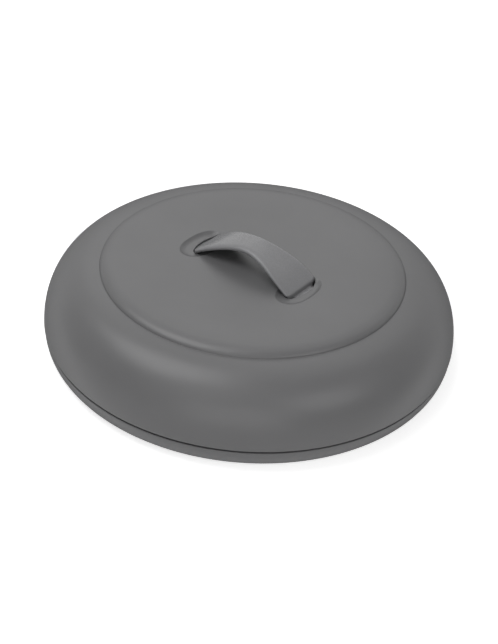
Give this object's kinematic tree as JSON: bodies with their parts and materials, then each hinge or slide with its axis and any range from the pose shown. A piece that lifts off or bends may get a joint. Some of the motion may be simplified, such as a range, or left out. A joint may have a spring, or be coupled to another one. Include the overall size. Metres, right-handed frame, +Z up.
{
  "type": "electric tortilla warmer",
  "caption": "Round countertop warmer: a low heated base with a non-stick plate and a domed lid with a strap handle that lifts straight off.",
  "frame": {"origin": "on the table, under the middle of the round base, level with the undersides of the feet", "axes": "+Z up; the strap handle runs along X; -Y is the front and the inlet and switch are at +Y"},
  "size_m": [0.3098, 0.3098, 0.0804],
  "materials": {
    "shell": "fine matte moulded grain",
    "cover": "matte moulded",
    "foot_rubber": "matte",
    "plate": "dark non-stick coating",
    "gasket": "matte silicone",
    "element_sheath": "satin",
    "spring_steel": "satin",
    "screw_steel": "zinc plated",
    "shield_steel": "aluminised",
    "fibre": "needled fibre board",
    "fuse_ceramic": "matte",
    "insulator": "matte moulded",
    "contact_brass": "bright",
    "rocker": "satin gloss",
    "wire_brown": "silicone insulation",
    "wire_white": "silicone insulation",
    "wire_blue": "silicone insulation",
    "liner_steel": "spun satin",
    "seal": "matte silicone",
    "strap": "soft-touch matte"
  },
  "bodies": {
    "base": {"base_housing": "shell", "bottom_cover": "cover", "foot_1": "foot_rubber", "foot_2": "foot_rubber", "foot_3": "foot_rubber", "foot_4": "foot_rubber", "heating_plate": "plate", "plate_gasket": "gasket", "heating_element": "element_sheath", "element_clips": "spring_steel", "element_screws": "screw_steel", "heat_shield": "shield_steel", "insulation_pad": "fibre", "shield_screws": "screw_steel", "thermostat": "element_sheath", "thermostat_bracket": "spring_steel", "bracket_screws": "screw_steel", "thermal_fuse": "fuse_ceramic", "fuse_clip": "spring_steel", "fuse_screw": "screw_steel", "plate_screws": "screw_steel", "cover_screws": "screw_steel", "inlet_carrier": "insulator", "inlet_pins": "contact_brass", "switch_housing": "insulator", "switch_terminals": "contact_brass", "wire_live": "wire_brown", "wire_switched": "wire_brown", "wire_fuse": "wire_white", "wire_thermostat": "wire_white", "wire_neutral": "wire_blue"},
    "lid": {"lid_shell": "shell", "lid_liner": "liner_steel", "liner_screws": "screw_steel", "rim_seal": "seal", "handle_strap": "strap", "handle_anchor_left": "spring_steel", "handle_anchor_right": "spring_steel", "anchor_screws": "screw_steel"},
    "switch": {"switch_rocker": "rocker"}
  },
  "joints": [
    {"name": "lid_lift", "type": "slide", "parent": "base", "child": "lid", "axis": [0, 0, 1], "range_m": [0, 0.15]},
    {"name": "switch_toggle", "type": "hinge", "parent": "base", "child": "switch", "pos_m": [0.018, 0.1415, 0.0089], "axis": [0, 0, 1], "range_deg": [0, 19.2]}
  ]
}
